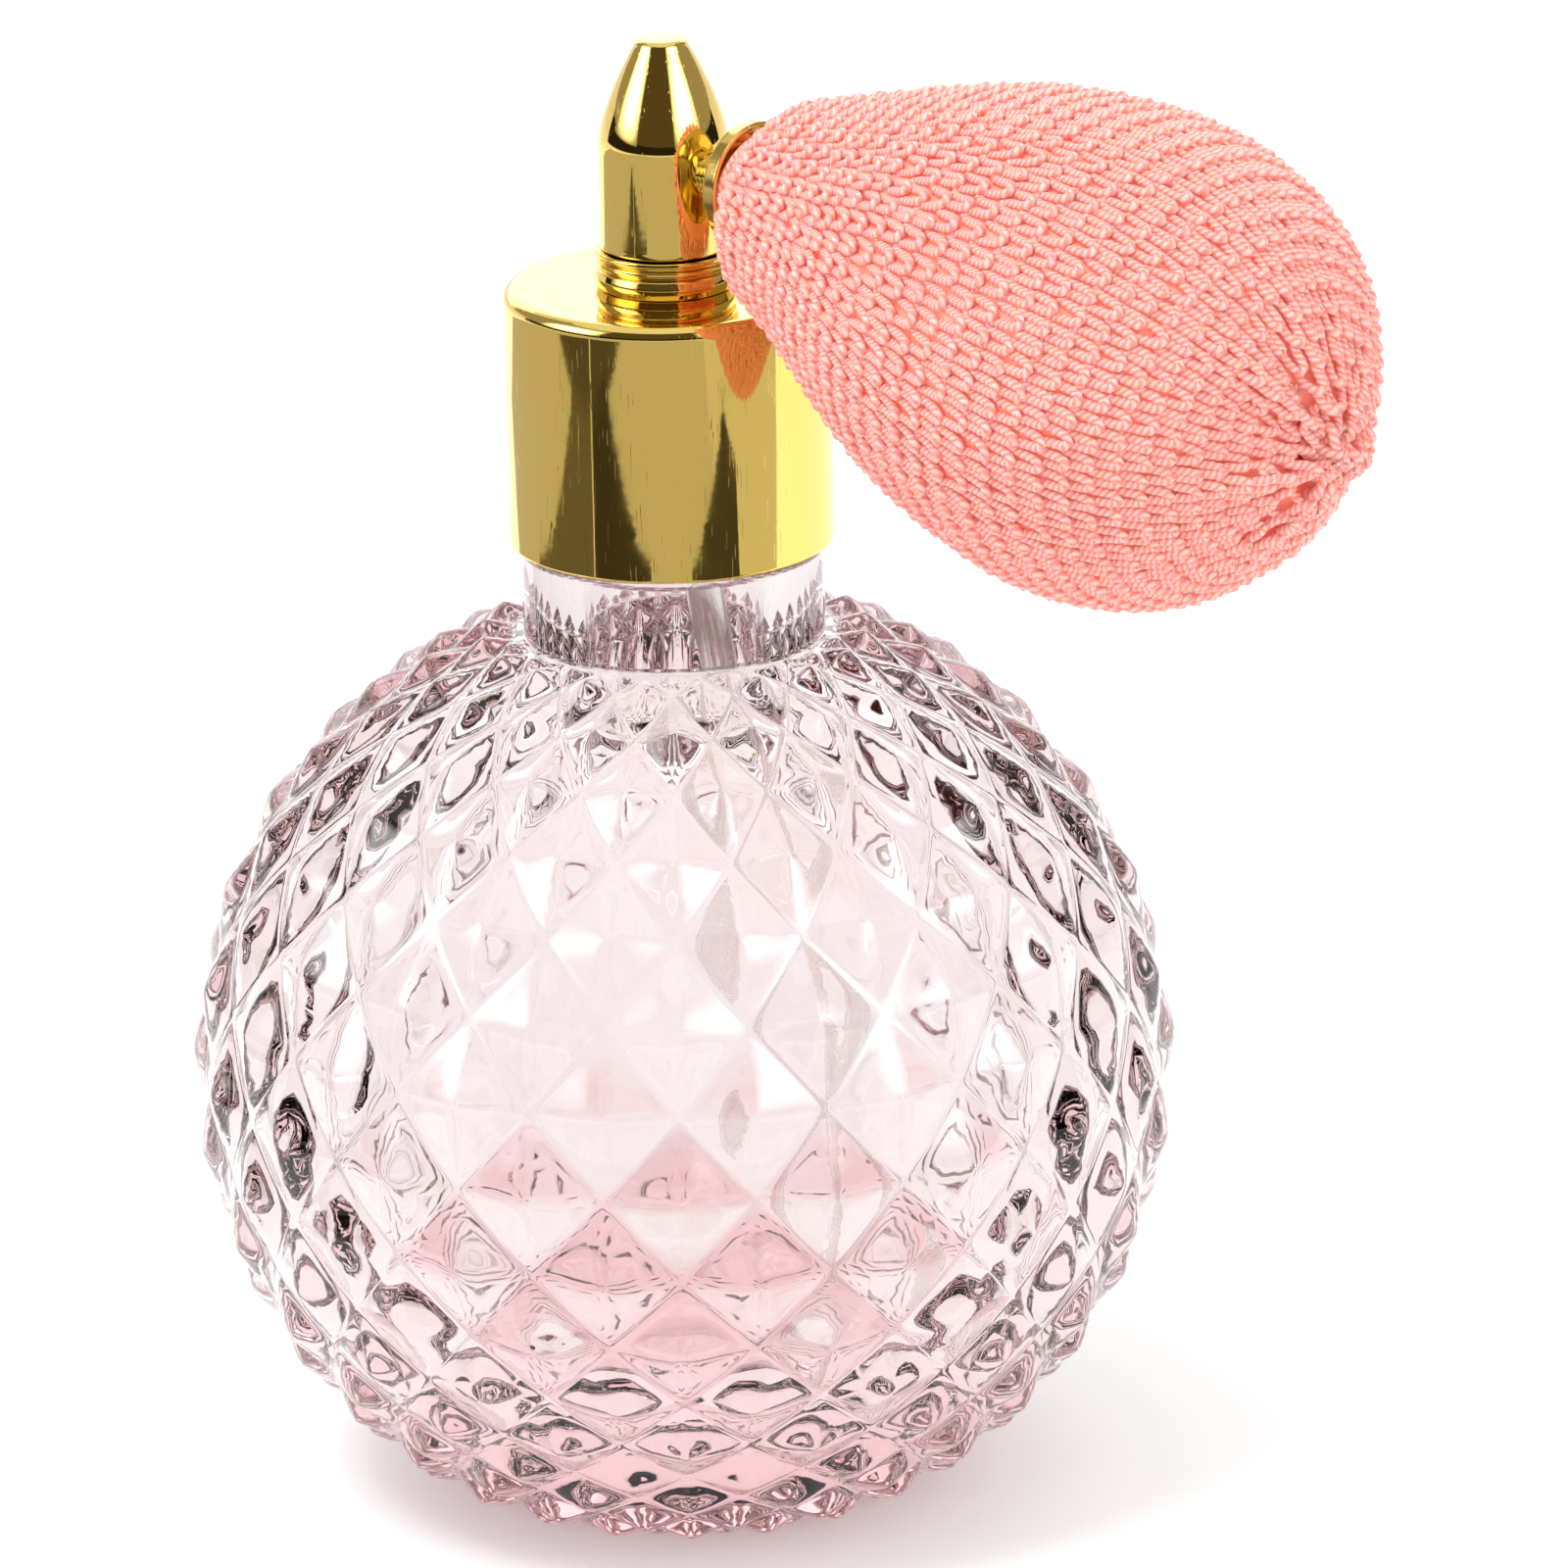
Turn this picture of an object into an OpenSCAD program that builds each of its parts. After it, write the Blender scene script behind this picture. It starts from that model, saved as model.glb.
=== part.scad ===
// Perfume atomiser: a diamond-cut glass ball bottle with a screw collar, a bullet-shaped
// spray head and a hand bulb of rubber in a knitted cover.
// +Z is up, the origin is the centre of the bottle's flat foot, the bulb lies along +X.

/* [Bottle] */
// Radius of the ball across the tips of the diamonds
tip_r = 40; // [38:0.5:44]
// Depth of the cut grooves below the tips
cut_depth = 2.4; // [1:0.1:3]
// Number of diamonds around the ball
columns = 20; // [16:1:24]
// Radius of the flat foot
foot_r = 19; // [17:0.5:20]
// Height of the ball's centre above the foot
ball_z = 35; // [34:0.5:36]
// Radius of the inside of the ball
cavity_r = 31; // [28:0.5:33]
// Turn of the cut pattern about the axis
cut_turn = 7; // [0:1:18]

/* [Neck and closure] */
// Radius of the glass ring under the collar
neck_ring_r = 12.1; // [11.5:0.1:12.3]
// Radius of the threaded neck, at the thread's root
neck_r = 9; // [8.8:0.1:9]
// Radius of the hole through the neck
bore_r = 7.2; // [6.6:0.1:7.3]
// Height of the neck's lip
lip_z = 93; // [92.8:0.1:93.2]
// Rise of the screw thread in one turn
pitch = 3; // [2.6:0.1:3.2]
// Turns of thread
thread_turns = 1.25; // [1:0.25:1.5]
// Outer radius of the collar
collar_r = 13.1; // [13:0.1:13.6]
// Height of the collar's lower edge
collar_z = 79.25; // [79.2:0.05:79.4]
// Height of the collar's top
collar_top = 100.3; // [100:0.1:101]

/* [Spray head] */
// Radius of the bullet-shaped head
head_r = 5.25; // [5:0.05:5.5]
// Height of the head's lower edge
head_z = 103.5; // [103.3:0.1:103.8]
// Height at which the head starts to taper
nose_z = 112.8; // [112:0.1:113.5]
// Height of the head's tip
tip_z = 120.5; // [119:0.1:122]
// Height of the air stem's axis
stem_z = 110.2; // [110:0.05:110.4]

/* [Dip tube] */
// Outer radius of the dip tube
tube_r = 1.5; // [1.4:0.05:1.5]
// Radius of the hole in the dip tube
tube_bore = 0.9; // [0.7:0.05:1]
// Lean of the tube inside the bottle
tube_lean = 10; // [0:0.5:11]

/* [Bulb] */
// Droop of the bulb below the stem's axis
droop = 10.5; // [8:0.5:12]
// Length of the bulb from the cup to the tail
bulb_len = 60.2; // [59:0.1:61]
// Largest radius of the knitted cover
bulb_r = 19.5; // [19:0.1:20]
// Thickness of the knitted cover
knit_t = 1.1; // [0.9:0.1:1.2]
// Thickness of the rubber wall
rubber_t = 1.5; // [1.2:0.1:1.8]
// Travel of the balls in the two air valves
valve_lift = 0.6; // [0.4:0.1:0.7]

/* [Hidden] */
$fn = 96;
eps = 0.01;
GOLD = "#C8B050";
BRASS = "#B89A55";

// ---------- helpers ----------

// A solid turned about Z from points [radius, height].
module turned(points) {
    rotate_extrude()
        polygon(points);
}

// Puts a solid drawn along +Z onto +X at the stem's height.
module along_stem(x) {
    translate([x, 0, stem_z])
        rotate([0, 90, 0])
            children();
}

// Puts a solid drawn along +Z onto the bulb's drooping axis, s from the cup.
bulb_x = 9.5;
module along_bulb(s) {
    translate([bulb_x, 0, stem_z])
        rotate([0, 90 + droop, 0])
            translate([0, 0, s])
                children();
}

// An arc of points about [cx, cy] in the half plane.
function arc(cx, cy, r, a0, a1, n) =
    [for (i = [0:n]) [cx + r * cos(a0 + (a1 - a0) * i / n), cy + r * sin(a0 + (a1 - a0) * i / n)]];

// A screw ridge: a trapezoid carried up a helix. r_in and r_out are its two radii,
// w_in and w_out its widths there.
module ridge(r_in, r_out, w_in, w_out, z0, rise, turns, a0, steps = 24) {
    n = round(turns * steps);
    pts = [for (i = [0:n]) let (a = a0 + 360 * i / steps, z = z0 + rise * i / steps)
        for (p = [[r_in, -w_in / 2], [r_out, -w_out / 2], [r_out, w_out / 2], [r_in, w_in / 2]])
            [p[0] * cos(a), p[0] * sin(a), z + p[1]]];
    sides = [for (i = [0:n - 1]) for (j = [0:3])
        let (a = 4 * i + j, b = 4 * i + (j + 1) % 4, c = a + 4, d = b + 4)
            each [[a, b, d], [a, d, c]]];
    polyhedron(pts, concat(sides, [[3, 2, 1], [3, 1, 0]], [[4 * n, 4 * n + 1, 4 * n + 2], [4 * n, 4 * n + 2, 4 * n + 3]]));
}

// ---------- the diamond-cut ball ----------

// Latitude of a row of groove crossings, from the foot to the shoulder.
row_lo = -2;
row_hi = 12;
function row_lat(i) = (i < 0) ? -40.6 + 6.4 * i : -40.6 + 6.14 * i + 0.66 * i * i - 0.0354 * i * i * i;
function row_off(i) = (i % 2 == 0) ? 0 : 0.5;
step_a = 360 / columns;
valley_r = tip_r - cut_depth;
function on_ball(r, lat, a) = [r * cos(lat) * cos(a), r * cos(lat) * sin(a), ball_z + r * sin(lat)];
shoulder_r = 12.9;
shoulder_z = 72.2;

module cut_ball() {
    nr = row_hi - row_lo + 1;
    crossings = [for (i = [row_lo:row_hi]) for (k = [0:columns - 1])
        on_ball(valley_r, row_lat(i), cut_turn + (k + row_off(i)) * step_a)];
    tips = [for (i = [row_lo + 1:row_hi - 1]) for (k = [0:columns - 1])
        on_ball(tip_r, row_lat(i), cut_turn + (k + 0.5 + row_off(i)) * step_a)];
    foot = [for (k = [0:columns - 1]) let (a = cut_turn + k * step_a) [foot_r * cos(a), foot_r * sin(a), 0]];
    shoulder = [for (k = [0:columns - 1]) let (a = cut_turn + k * step_a)
        [shoulder_r * cos(a), shoulder_r * sin(a), shoulder_z]];
    n_c = nr * columns;
    n_t = (nr - 2) * columns;
    function at(j, k) = j * columns + (k % columns);
    function tip(j, k) = n_c + (j - 1) * columns + k;
    function ft(k) = n_c + n_t + (k % columns);
    function sh(k) = n_c + n_t + columns + (k % columns);
    // Four faces meet at each tip. The neighbours above and below are half a step round.
    diamonds = [for (j = [1:nr - 2]) for (k = [0:columns - 1])
        let (m = k + ((j % 2 == 0) ? 0 : 1), l = at(j, k), r = at(j, k + 1), b = at(j - 1, m), t = at(j + 1, m), a = tip(j, k))
            each [[l, a, b], [b, a, r], [r, a, t], [t, a, l]]];
    low = [for (k = [0:columns - 1]) each [[at(0, k), at(1, k), at(0, k + 1)],
        [ft(k), at(0, k + 1), ft(k + 1)], [ft(k), at(0, k), at(0, k + 1)]]];
    high = [for (k = [0:columns - 1]) each [[at(nr - 1, k), at(nr - 1, k + 1), at(nr - 2, k)],
        [at(nr - 1, k), sh(k + 1), at(nr - 1, k + 1)], [at(nr - 1, k), sh(k), sh(k + 1)]]];
    base = [[for (k = [0:columns - 1]) ft(k)]];
    top = [[for (k = [columns - 1:-1:0]) sh(k)]];
    polyhedron(concat(crossings, tips, foot, shoulder), concat(diamonds, low, high, base, top));
}

module bottle() {
    color("#F3DDE2", 0.5)
    difference() {
        union() {
            cut_ball();
            // The ring under the collar and the neck.
            turned([[0, 70], [neck_ring_r - 0.4, 70], [neck_ring_r - 0.4, 73.4], [neck_ring_r, 74], [neck_ring_r, 78.4],
                [neck_ring_r - 0.6, 79], [neck_r, 79], [neck_r, lip_z - 0.4], [neck_r - 0.4, lip_z], [0, lip_z]]);
            ridge(neck_r - 0.3, neck_r + 0.95, 1.7, 0.7, 82, pitch, thread_turns, 0);
        }
        // The inside: a ball that runs into the neck's hole, with a flat floor.
        turned(concat([[0, 5.5]], arc(0, ball_z + 0.5, cavity_r, -74, 74, 40),
            [[bore_r, ball_z + 34], [bore_r, lip_z + 1], [0, lip_z + 1]]));
    }
}

// ---------- closure ----------

module collar_sleeve() {
    color(GOLD)
    turned(concat([[collar_r - 0.62, collar_z], [collar_r - 0.1, collar_z], [collar_r, collar_z + 0.1],
        [collar_r, collar_z + 0.8], [collar_r - 0.12, collar_z + 0.95]],
        arc(collar_r - 1.22, collar_top - 1.1, 1.1, 0, 90, 10),
        [[3.6, collar_top], [3.6, collar_top - 0.9], [collar_r - 1.7, collar_top - 0.9],
        [collar_r - 0.62, collar_top - 1.9]]));
}

module threaded_cap() {
    color("#F4EFE6")
    union() {
        turned([[3.55, 94], [10.2, 94], [10.2, 79.8], [collar_r - 0.66, 79.8], [collar_r - 0.66, collar_top - 1.98],
            [collar_r - 1.75, collar_top - 0.95], [3.55, collar_top - 0.95]]);
        ridge(9.25, 10.45, 0.7, 1.7, 82 + pitch / 2, pitch, thread_turns, 0);
    }
}

module neck_gasket() {
    color("#E9E4DA")
    turned([[3.56, lip_z], [9.6, lip_z], [9.6, lip_z + 0.98], [3.56, lip_z + 0.98]]);
}

// ---------- post and head ----------

module post_base() {
    color(GOLD)
    turned(concat([[tube_r + 0.02, 90.2], [3.3, 90.2], [3.5, 90.4], [3.5, collar_top], [5.3, collar_top], [5.3, collar_top + 0.55]],
        arc(5.1, collar_top + 1.15, 0.55, -60, 60, 8),
        [[5.1, collar_top + 1.85]],
        arc(5.12, collar_top + 2.45, 0.5, -75, 75, 8),
        [[5, head_z], [2.95, head_z], [2.95, 106], [tube_r + 0.02, 106]]));
}

module post_nut() {
    color(BRASS)
    difference() {
        translate([0, 0, 90.8])
            cylinder(r = 6.2, h = 2.15, $fn = 6);
        translate([0, 0, 90])
            cylinder(r = 3.52, h = 4);
    }
}

module head() {
    nose = tip_z - nose_z;
    color(GOLD)
    difference() {
        turned(concat([[2.97, head_z], [head_r - 0.1, head_z], [head_r, head_z + 0.1]],
            [for (i = [0:16]) let (t = i / 16) [head_r - 3.1 * pow(t, 1.3), nose_z + (nose - 0.5) * t]],
            arc(head_r - 3.6, tip_z - 0.5, 0.5, 20, 90, 4),
            [[0, tip_z], [0, 112.9], [2.97, 112.9]]));
        // Hole for the air stem, and the nozzle's hole on the far side.
        along_stem(0)
            cylinder(r = 1.72, h = 8);
        along_stem(-8)
            cylinder(r = 1.5, h = 8);
    }
}

module mixing_core() {
    color("#EFEAE0")
    difference() {
        translate([0, 0, 106.02])
            cylinder(r = 2.95, h = 6.8);
        // Socket for the dip tube and the liquid's way up.
        translate([0, 0, 105])
            cylinder(r = tube_r + 0.02, h = 2.6);
        translate([0, 0, 105])
            cylinder(r = 0.5, h = 5.2);
        // Air in from the stem, spray out to the nozzle.
        along_stem(0)
            cylinder(r = 1, h = 4);
        along_stem(-4)
            cylinder(r = 0.7, h = 4.5);
    }
}

module nozzle_insert() {
    color(BRASS)
    along_stem(-5.35)
        difference() {
            cylinder(r = 1.48, h = 2.3);
            translate([0, 0, -1])
                cylinder(r = 0.3, h = 4);
            translate([0, 0, -eps])
                cylinder(r1 = 1, r2 = 0.3, h = 0.7);
            translate([0, 0, 0.9])
                cylinder(r = 0.7, h = 2);
        }
}

// The tube is upright in the post and leans towards the wall in the bottle. Its two straight
// runs meet on the plane that halves the bend.
bend_z = 89;
module pipe(z, h) {
    translate([0, 0, z])
        difference() {
            cylinder(r = tube_r, h = h);
            translate([0, 0, -1])
                cylinder(r = tube_bore, h = h + 2);
        }
}

module bend_side(z) {
    translate([0, 0, bend_z])
        rotate([0, -tube_lean / 2, 0])
            translate([-10, -10, z])
                cube([20, 20, 20]);
}

module dip_tube() {
    color("#F6F4F0", 0.7)
    rotate([0, 0, 44])
        union() {
            difference() {
                pipe(bend_z - 2, 20.4);
                bend_side(-20);
            }
            difference() {
                translate([0, 0, bend_z])
                    rotate([0, -tube_lean, 0])
                        pipe(-79.8, 82);
                bend_side(0);
            }
        }
}

// ---------- air stem and cup ----------

module air_stem() {
    color(BRASS)
    along_stem(3)
        difference() {
            union() {
                cylinder(r = 1.55, h = 9.4);
                cylinder(r = 1.7, h = 2.4);
                for (i = [0:4])
                    translate([0, 0, 2.5 + 0.42 * i])
                        rotate_extrude()
                            polygon([[1.4, 0], [1.55, 0], [1.74, 0.17], [1.55, 0.34], [1.4, 0.34]]);
            }
            translate([0, 0, -1])
                cylinder(r = 1, h = 12);
        }
}

module cup_flange() {
    color(BRASS)
    along_stem(0)
        turned([[1.57, 7.7], [2.1, 7.7], [2.3, 7.9], [4.3, 8.6], [4.95, 9], [5.12, 9.3], [5.12, 10.1], [4.9, 10.3],
            [4.7, 10.1], [4.7, 9.5], [4.1, 9.15], [2.9, 9.1], [2.9, 15.2], [3.15, 15.5], [2.9, 16.2], [2.5, 16.2],
            [2.5, 12.5], [1.57, 12.5]]);
}

// Three grooves beside a valve's ball, so that air can pass it.
module flutes(z, h) {
    for (a = [0, 120, 240])
        rotate([0, 0, a])
            translate([1.3, 0, z])
                cylinder(r = 0.4, h = h);
}

// A ball of radius ball_r on the edge of a hole of radius seat_r stands this far from its plane.
ball_r = 1.1;
seat_r = 0.8;
ball_off = sqrt(ball_r * ball_r - seat_r * seat_r) + 0.02;

module outlet_valve_seat() {
    color("#EFEAE0")
    along_stem(0)
        difference() {
            turned([[1.18, 12.5], [2.48, 12.5], [2.48, 16], [seat_r, 16], [seat_r, 14.3], [1.18, 14.3]]);
            flutes(12, 2.3);
        }
}

// It rests on the edge of the seat's hole and lifts towards the head.
module outlet_valve_ball() {
    color("#D8D8DC")
    along_stem(14.3 - ball_off)
        sphere(r = ball_r);
}

// ---------- bulb ----------

// The bulb's outline over the knit: [distance from the cup, radius].
OUTLINE = [[0.9, 5.4], [2.2, 6.9], [5, 8.2], [9, 9.9], [13, 11.8], [19, 14.8], [26, 17.4], [33, 18.9], [39, 19.5],
    [45, 18.8], [51, 16.4], [55.5, 12.3], [58.2, 8], [59.8, 4.2]];
k_s = bulb_len / 60.2;
k_r = bulb_r / 19.5;

// A smooth curve through the outline, with n points in each span, d inside it.
function slope(i, c) = let (lo = max(0, i - 1), hi = min(len(OUTLINE) - 1, i + 1))
    (OUTLINE[hi][c] - OUTLINE[lo][c]) / (hi - lo);
function spline(i, t, c) = let (p = OUTLINE[i][c], q = OUTLINE[i + 1][c], u = slope(i, c), v = slope(i + 1, c))
    p * (2 * t * t * t - 3 * t * t + 1) + u * (t * t * t - 2 * t * t + t) + q * (3 * t * t - 2 * t * t * t) + v * (t * t * t - t * t);
function curve(d, from, to, n) = [for (i = [from:to - 1]) for (j = [0:n - 1]) let (t = j / n)
    [k_r * spline(i, t, 1) - d, k_s * spline(i, t, 0) - d * (i > 9 ? 0.75 * (i - 9) / 4 : 0)]];

module rubber_bulb() {
    color("#FFA590")
    difference() {
        along_bulb(0)
            difference() {
                turned(concat([[0, 0.9]], curve(knit_t + 0.02, 0, 13, 4), [[3.5, bulb_len - 1.5], [0, bulb_len - 1.5]]));
                turned(concat([[0, 6.6], [3.2, 6.6]], curve(knit_t + rubber_t, 3, 12, 4), [[5.5, bulb_len - 3.2], [0, bulb_len - 3.2]]));
                // Hole for the inlet valve.
                translate([0, 0, bulb_len - 10])
                    cylinder(r = 2.62, h = 12);
            }
        // The neck is stretched over the cup's spigot.
        along_stem(8)
            cylinder(r = 2.92, h = 10);
    }
}

module knit_cover() {
    color("#F5B5B0")
    along_bulb(0)
        turned(concat(curve(0, 0, 13, 4), [[3.6, bulb_len - 0.25], [1.6, bulb_len - 0.1], [1.2, bulb_len - 0.6]],
            [[1.2, bulb_len - 1.35], [3.4, bulb_len - 1.4]],
            [for (p = [for (i = [51:-1:0]) curve(knit_t, 0, 13, 4)[i]]) p]));
}

// The yarn that ties the cover's edge down round the bulb's neck, just behind the cup.
module neck_binding() {
    color("#F0A8A2")
    along_bulb(0.45)
        rotate_extrude()
            translate([4.1, 0])
                circle(r = 0.35, $fn = 24);
}

// The yarn that draws the cover shut at the tail.
module gather_cord() {
    color("#F0A8A2")
    along_bulb(bulb_len + 0.32)
        rotate_extrude()
            translate([1.05, 0])
                circle(r = 0.32, $fn = 24);
}

// ---------- inlet valve in the tail ----------

seat_s = bulb_len - 3;

module inlet_valve_body() {
    color("#EFEAE0")
    along_bulb(0)
        difference() {
            turned([[1.92, seat_s - 3.8], [2.6, seat_s - 3.8], [2.6, seat_s - 1.3], [4.3, seat_s - 1.1], [4.3, seat_s - 0.35],
                [2.6, seat_s - 0.3], [2.6, seat_s + 1.4], [seat_r, seat_s + 1.4], [seat_r, seat_s], [1.18, seat_s],
                [1.18, seat_s - 1.92], [1.92, seat_s - 1.92]]);
            flutes(seat_s - 2.3, 2.3);
        }
}

module inlet_valve_ball() {
    color("#D8D8DC")
    along_bulb(seat_s - ball_off)
        sphere(r = ball_r);
}

// Keeps the ball in its chamber.
module inlet_valve_cap() {
    color("#EFEAE0")
    along_bulb(seat_s - 3.7)
        difference() {
            cylinder(r = 1.9, h = 1.75);
            translate([0, 0, -1])
                cylinder(r = 1, h = 4);
        }
}

// ---------- the assembly ----------

bottle();
collar_sleeve();
threaded_cap();
neck_gasket();
post_base();
post_nut();
head();
mixing_core();
nozzle_insert();
dip_tube();
air_stem();
cup_flange();
outlet_valve_seat();
outlet_valve_ball();
rubber_bulb();
knit_cover();
neck_binding();
gather_cord();
inlet_valve_body();
inlet_valve_ball();
inlet_valve_cap();
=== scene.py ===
# %% [markdown]
# # Perfume atomiser
# A ball of cut glass with a gold collar, a bullet-shaped spray head and a rubber bulb in a knitted cover.
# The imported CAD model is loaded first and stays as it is. Every new surface is worked out in millimetres in its
# frame, turned to metres as it becomes a mesh, and rides on one of its bodies. CAD nodes whose shape is already
# right keep their mesh and get a material.

import math

import bpy
import numpy as np
from mathutils import Matrix


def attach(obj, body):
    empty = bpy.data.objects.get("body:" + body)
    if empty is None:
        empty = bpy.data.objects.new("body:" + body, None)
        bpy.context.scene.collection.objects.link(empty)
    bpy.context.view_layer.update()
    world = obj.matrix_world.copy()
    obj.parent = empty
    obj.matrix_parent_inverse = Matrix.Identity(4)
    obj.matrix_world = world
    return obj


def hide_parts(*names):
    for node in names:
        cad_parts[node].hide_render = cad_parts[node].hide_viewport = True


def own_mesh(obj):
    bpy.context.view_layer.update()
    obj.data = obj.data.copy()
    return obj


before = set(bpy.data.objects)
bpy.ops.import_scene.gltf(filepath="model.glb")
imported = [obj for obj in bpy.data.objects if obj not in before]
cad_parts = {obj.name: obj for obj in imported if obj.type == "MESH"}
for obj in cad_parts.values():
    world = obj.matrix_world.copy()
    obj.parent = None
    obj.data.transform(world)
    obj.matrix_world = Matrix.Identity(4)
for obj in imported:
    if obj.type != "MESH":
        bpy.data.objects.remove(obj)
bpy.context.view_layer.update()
MM = 0.001

# %% [markdown]
# ## Helpers for meshes
# Each new piece is a closed grid of points that numpy works out at once. Points that fall together, such as
# those at a pole or along a shared seam, are welded, and the faces that this squeezes to nothing are dropped.
# If the signed volume comes out negative the faces are turned round, so that they always point outwards.

# %% Mesh helpers
def add_mesh(name, points, faces, smooth_below=None, uv=None):
    """Makes an object from points (n, 3) in millimetres and faces (m, 3 or 4). uv gives two numbers a point."""
    mesh = bpy.data.meshes.new(name)
    mesh.vertices.add(len(points))
    mesh.vertices.foreach_set("co", (points * MM).astype(np.float32).ravel())
    side = faces.shape[1]
    mesh.loops.add(faces.size)
    mesh.loops.foreach_set("vertex_index", faces.astype(np.int32).ravel())
    mesh.polygons.add(len(faces))
    mesh.polygons.foreach_set("loop_start", np.arange(0, faces.size, side, dtype=np.int32))
    if uv is not None:
        layer = mesh.uv_layers.new(name="along")
        layer.data.foreach_set("uv", uv.astype(np.float32).ravel())
    mesh.update(calc_edges=True)
    mesh.validate()
    mesh.polygons.foreach_set("use_smooth", np.ones(len(mesh.polygons), dtype=bool))
    if smooth_below is not None:
        mesh.set_sharp_from_angle(angle=math.radians(smooth_below))
    obj = bpy.data.objects.new(name, mesh)
    bpy.context.scene.collection.objects.link(obj)
    print(f"{name}: {len(points)} points, {len(faces) * (side - 2)} triangles")
    return obj


def grid_faces(nu, nv, wrap_u=False, wrap_v=False):
    """The quads of a grid of nu by nv points, numbered row by row, joined round where wrap says so."""
    u = np.arange(nu if wrap_u else nu - 1)
    v = np.arange(nv if wrap_v else nv - 1)
    a, b = np.meshgrid(u, v, indexing="ij")
    c, d = (a + 1) % nu, (b + 1) % nv
    return np.stack([a * nv + b, c * nv + b, c * nv + d, a * nv + d], -1).reshape(-1, 4)


def weld(points, quads, grain=1e-4):
    """Joins points that lie within grain mm, and returns triangles with none squeezed to a line."""
    keys = np.round(points / grain).astype(np.int64)
    _, first, inverse = np.unique(keys, axis=0, return_index=True, return_inverse=True)
    inverse = inverse.ravel()
    q = inverse[quads]
    tris = np.concatenate([q[:, [0, 1, 2]], q[:, [0, 2, 3]]])
    good = (tris[:, 0] != tris[:, 1]) & (tris[:, 1] != tris[:, 2]) & (tris[:, 2] != tris[:, 0])
    return points[first], tris[good]


def outward(points, faces):
    """Turns the faces round if their signed volume, a sixth of the sum of a . (b x c), is negative."""
    a, b, c = points[faces[:, 0]], points[faces[:, 1]], points[faces[:, 2]]
    volume = np.einsum("ij,ij->i", a, np.cross(b, c)).sum()
    return faces if volume > 0 else faces[:, ::-1]


def fillet(corners, radii, arc=5):
    """Rounds each corner of a closed outline [radius, height] with an arc that touches both its sides.
    The arc starts at the tangent length, its radius times the tangent of half the turn, from the corner."""
    corners = np.array(corners, float)
    out = []
    for i, p in enumerate(corners):
        r = radii[i]
        if r <= 0:
            out.append(p[None])
            continue
        a, b = corners[i - 1] - p, corners[(i + 1) % len(corners)] - p
        la, lb = np.linalg.norm(a), np.linalg.norm(b)
        a, b = a / la, b / lb
        half = math.acos(np.clip(a @ b, -1, 1)) / 2
        t = min(r / math.tan(half), la * 0.45, lb * 0.45)
        r = t * math.tan(half)
        centre = p + (a + b) / np.linalg.norm(a + b) * r / math.sin(half)
        s = p + a * t - centre
        e = p + b * t - centre
        turn = math.atan2(s[0] * e[1] - s[1] * e[0], s @ e)
        w = np.linspace(0, turn, arc + 1)[:, None]
        arcs = centre + np.cos(w) * s + np.sin(w) * np.array([-s[1], s[0]])
        near = 0.12 * r
        out += [(arcs[0] + a * near)[None], arcs, (arcs[-1] + b * near)[None]]
    return np.concatenate(out)


def lathe(outline, sides=160):
    """Turns a closed outline [radius, height] about Z: x = r cos a, y = r sin a, z = height."""
    a = np.linspace(0, 2 * np.pi, sides, endpoint=False)[:, None]
    r, z = outline[None, :, 0], outline[None, :, 1]
    points = np.stack([r * np.cos(a), r * np.sin(a), z + 0 * a], -1).reshape(-1, 3)
    points, tris = weld(points, grid_faces(sides, len(outline), True, True))
    return points, outward(points, tris)


def piece(name, body, node, shape, material, smooth_below=38):
    """Adds a closed surface, puts it on its body, hides the CAD node it stands for, and gives it its finish."""
    obj = add_mesh(name, shape[0], shape[1], smooth_below)
    obj.data.materials.append(material)
    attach(obj, body)
    if node:
        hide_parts(node)
    return obj


# %% [markdown]
# ## Helpers for materials
# Colours are written as the sRGB hex values that a painter would pick, and one function turns them to the
# linear values that Blender wants. One more function adds a node with its settings and links.

# %% Material helpers
def colour(hex_code):
    """sRGB hex to linear RGBA: c / 12.92 below 0.04045, else ((c + 0.055) / 1.055) ** 2.4."""
    c = np.array([int(hex_code[i : i + 2], 16) for i in (1, 3, 5)]) / 255
    linear = np.where(c <= 0.04045, c / 12.92, ((c + 0.055) / 1.055) ** 2.4)
    return (*linear.tolist(), 1.0)


def node(tree, kind, settings=None, **inputs):
    """Adds a node: settings are its attributes, inputs are values or output sockets, by socket name."""
    n = tree.nodes.new(kind)
    for k, v in (settings or {}).items():
        setattr(n, k, v)
    for k, v in inputs.items():
        socket = n.inputs[int(k[1:])] if k[0] == "_" else n.inputs[k.replace("_", " ")]
        if isinstance(v, bpy.types.NodeSocket):
            tree.links.new(v, socket)
        else:
            socket.default_value = v
    return n


def new_material(name, **shader):
    """A material with one Principled shader, whose constants are set straight on its sockets."""
    m = bpy.data.materials.new(name)
    m.use_nodes = True
    t = m.node_tree
    t.nodes.clear()
    bsdf = node(t, "ShaderNodeBsdfPrincipled", None, **shader)
    node(t, "ShaderNodeOutputMaterial", None, Surface=bsdf.outputs[0])
    return m, t, bsdf


def ramp(tree, fac, stops):
    """A colour ramp with stops (place, hex colour)."""
    n = node(tree, "ShaderNodeValToRGB", None, Fac=fac)
    e = n.color_ramp.elements
    while len(e) < len(stops):
        e.new(0.5)
    for i, (at, c) in enumerate(stops):
        e[i].position = at
        e[i].color = colour(c)
    return n.outputs[0]


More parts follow.
